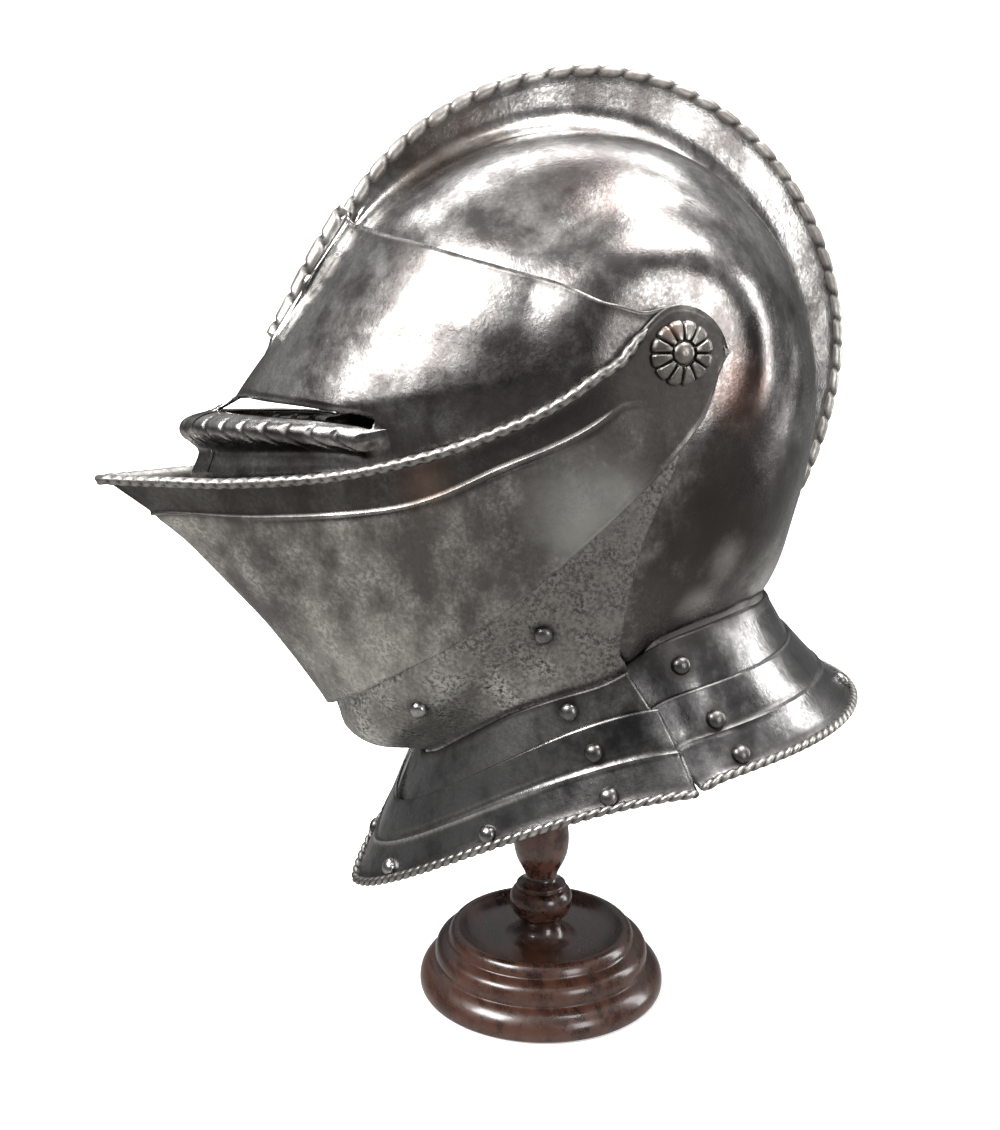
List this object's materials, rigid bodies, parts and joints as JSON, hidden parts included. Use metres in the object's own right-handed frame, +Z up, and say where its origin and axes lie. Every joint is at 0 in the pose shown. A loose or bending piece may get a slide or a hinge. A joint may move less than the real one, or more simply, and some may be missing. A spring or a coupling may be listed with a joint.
{
  "type": "tilting helm on a turned wooden stand",
  "caption": "Steel tilting helm with a hinged visor, pointed ventail, hinged bevor and flared neck plates, carried on a turned wooden stand.",
  "frame": {"origin": "middle of the stand's foot, on the surface that it stands on", "axes": "-Y is where the helm faces, +X is the wearer's left, +Z is up"},
  "size_m": [0.217, 0.3102, 0.3884],
  "materials": {
    "stand": "dark stained and waxed",
    "skull": "worn, pitted, polished on the high places",
    "rear_lame": "worn, dark, polished on the high places",
    "rear_plate": "worn, dark, polished on the high places",
    "pivot_left": "worn, pitted, polished on the high places",
    "pivot_right": "worn, pitted, polished on the high places",
    "rear_lame_rivet_1l": "worn, pitted, polished on the high places",
    "rear_lame_rivet_1r": "worn, pitted, polished on the high places",
    "rear_plate_rivet_1l": "worn, pitted, polished on the high places",
    "rear_plate_rivet_1r": "worn, pitted, polished on the high places",
    "rear_plate_rivet_2l": "worn, pitted, polished on the high places",
    "rear_plate_rivet_2r": "worn, pitted, polished on the high places",
    "rear_plate_rivet_3l": "worn, pitted, polished on the high places",
    "rear_plate_rivet_3r": "worn, pitted, polished on the high places",
    "bevor": "worn, pitted, polished on the high places",
    "front_lame": "worn, dark, polished on the high places",
    "front_plate": "worn, dark, polished on the high places",
    "bevor_rivet_1l": "worn, pitted, polished on the high places",
    "bevor_rivet_1r": "worn, pitted, polished on the high places",
    "bevor_rivet_2l": "worn, pitted, polished on the high places",
    "bevor_rivet_2r": "worn, pitted, polished on the high places",
    "front_lame_rivet_1l": "worn, pitted, polished on the high places",
    "front_lame_rivet_1r": "worn, pitted, polished on the high places",
    "front_plate_rivet_1l": "worn, pitted, polished on the high places",
    "front_plate_rivet_1r": "worn, pitted, polished on the high places",
    "front_plate_rivet_2l": "worn, pitted, polished on the high places",
    "front_plate_rivet_2r": "worn, pitted, polished on the high places",
    "front_plate_rivet_3l": "worn, pitted, polished on the high places",
    "front_plate_rivet_3r": "worn, pitted, polished on the high places",
    "front_plate_rivet_4l": "worn, pitted, polished on the high places",
    "front_plate_rivet_4r": "worn, pitted, polished on the high places",
    "ventail": "worn, pitted, polished on the high places",
    "visor": "worn, pitted, polished on the high places"
  },
  "bodies": {
    "carried_helm": {"stand": "stand", "skull": "skull", "rear_lame": "rear_lame", "rear_plate": "rear_plate", "pivot_left": "pivot_left", "pivot_right": "pivot_right", "rear_lame_rivet_1l": "rear_lame_rivet_1l", "rear_lame_rivet_1r": "rear_lame_rivet_1r", "rear_plate_rivet_1l": "rear_plate_rivet_1l", "rear_plate_rivet_1r": "rear_plate_rivet_1r", "rear_plate_rivet_2l": "rear_plate_rivet_2l", "rear_plate_rivet_2r": "rear_plate_rivet_2r", "rear_plate_rivet_3l": "rear_plate_rivet_3l", "rear_plate_rivet_3r": "rear_plate_rivet_3r"},
    "bevor_body": {"bevor": "bevor", "front_lame": "front_lame", "front_plate": "front_plate", "bevor_rivet_1l": "bevor_rivet_1l", "bevor_rivet_1r": "bevor_rivet_1r", "bevor_rivet_2l": "bevor_rivet_2l", "bevor_rivet_2r": "bevor_rivet_2r", "front_lame_rivet_1l": "front_lame_rivet_1l", "front_lame_rivet_1r": "front_lame_rivet_1r", "front_plate_rivet_1l": "front_plate_rivet_1l", "front_plate_rivet_1r": "front_plate_rivet_1r", "front_plate_rivet_2l": "front_plate_rivet_2l", "front_plate_rivet_2r": "front_plate_rivet_2r", "front_plate_rivet_3l": "front_plate_rivet_3l", "front_plate_rivet_3r": "front_plate_rivet_3r", "front_plate_rivet_4l": "front_plate_rivet_4l", "front_plate_rivet_4r": "front_plate_rivet_4r"},
    "ventail_body": {"ventail": "ventail"},
    "visor_body": {"visor": "visor"}
  },
  "joints": [
    {"name": "bevor_hinge", "type": "hinge", "parent": "carried_helm", "child": "bevor_body", "pos_m": [0, 0.0188, 0.2756], "axis": [-1, 0, 0], "range_deg": [0, 30]},
    {"name": "ventail_hinge", "type": "hinge", "parent": "bevor_body", "child": "ventail_body", "pos_m": [0, 0.0188, 0.2756], "axis": [-1, 0, 0], "range_deg": [0, 20]},
    {"name": "visor_hinge", "type": "hinge", "parent": "ventail_body", "child": "visor_body", "pos_m": [0, 0.0188, 0.2756], "axis": [-1, 0, 0], "range_deg": [0, 40]}
  ]
}
